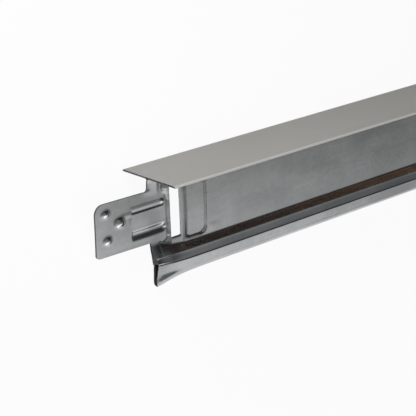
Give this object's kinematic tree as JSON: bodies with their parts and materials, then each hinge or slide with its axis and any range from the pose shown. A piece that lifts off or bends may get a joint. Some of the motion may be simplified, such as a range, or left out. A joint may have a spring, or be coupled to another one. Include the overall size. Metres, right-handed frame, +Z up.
{
  "type": "ceiling grid tee",
  "caption": "Suspended-ceiling grid tee: painted face, doubled galvanised web, hollow bulb and stamped splice tabs at its ends; lies on its side.",
  "frame": {"origin": "floor point under the middle of the tee's box, lying on its side", "axes": "+X along the tee, +Y towards the side that the painted face looks to, +Z up"},
  "size_m": [0.6384, 0.036, 0.0229],
  "materials": {
    "galvanised_steel": "bare galvanised, dull with faint spangle",
    "painted_cap": "warm grey satin paint"
  },
  "bodies": {
    "root": {"tee_body": "galvanised_steel", "face_cap": "painted_cap"}
  },
  "joints": []
}
